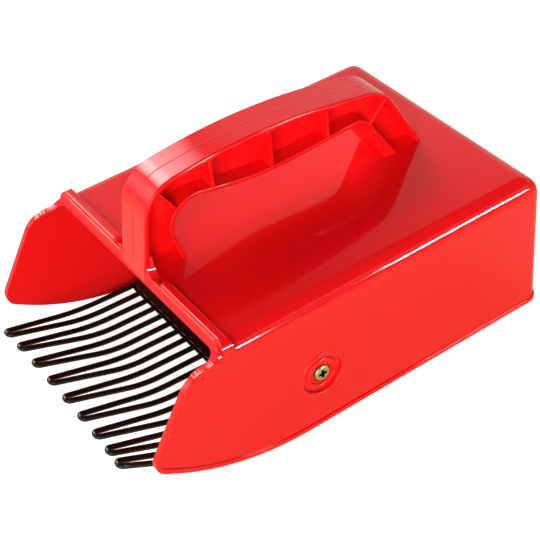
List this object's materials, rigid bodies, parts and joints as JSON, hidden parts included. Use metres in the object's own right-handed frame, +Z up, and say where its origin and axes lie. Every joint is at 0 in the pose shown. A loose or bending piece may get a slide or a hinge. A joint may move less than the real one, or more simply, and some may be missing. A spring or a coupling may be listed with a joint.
{
  "type": "berry picker",
  "caption": "Hand-held berry picker: an open-bottomed hopper with a ribbed carrying handle and a wire comb on a hinged sheet floor.",
  "frame": {"origin": "on the ground, below the middle of the object's length and width", "axes": "+Z up, away from the rim it rests on; +Y from the comb to the rear wall; +X to the side that the picture shows"},
  "size_m": [0.1418, 0.2258, 0.1185],
  "materials": {
    "red_plastic": "glossy injection moulding",
    "black_coat": "glossy black dip coating on steel",
    "yellow_zinc": "yellow-passivated zinc plating on steel",
    "bright_steel": "bright zinc plating on steel"
  },
  "bodies": {
    "hopper": {"body_shell": "red_plastic", "pivot_screw_right": "yellow_zinc", "pivot_bush_right": "bright_steel", "pivot_washer_right": "bright_steel", "pivot_nut_right": "bright_steel", "pivot_screw_left": "yellow_zinc", "pivot_bush_left": "bright_steel", "pivot_washer_left": "bright_steel", "pivot_nut_left": "bright_steel"},
    "floor": {"floor_tray": "black_coat", "tine_1": "black_coat", "tine_2": "black_coat", "tine_3": "black_coat", "tine_4": "black_coat", "tine_5": "black_coat", "tine_6": "black_coat", "tine_7": "black_coat", "tine_8": "black_coat", "tine_9": "black_coat", "comb_bar": "black_coat"}
  },
  "joints": [
    {"name": "floor_hinge", "type": "hinge", "parent": "hopper", "child": "floor", "pos_m": [0, -0.01655, 0.0295], "axis": [-1, 0, 0], "range_deg": [0, 45]}
  ]
}
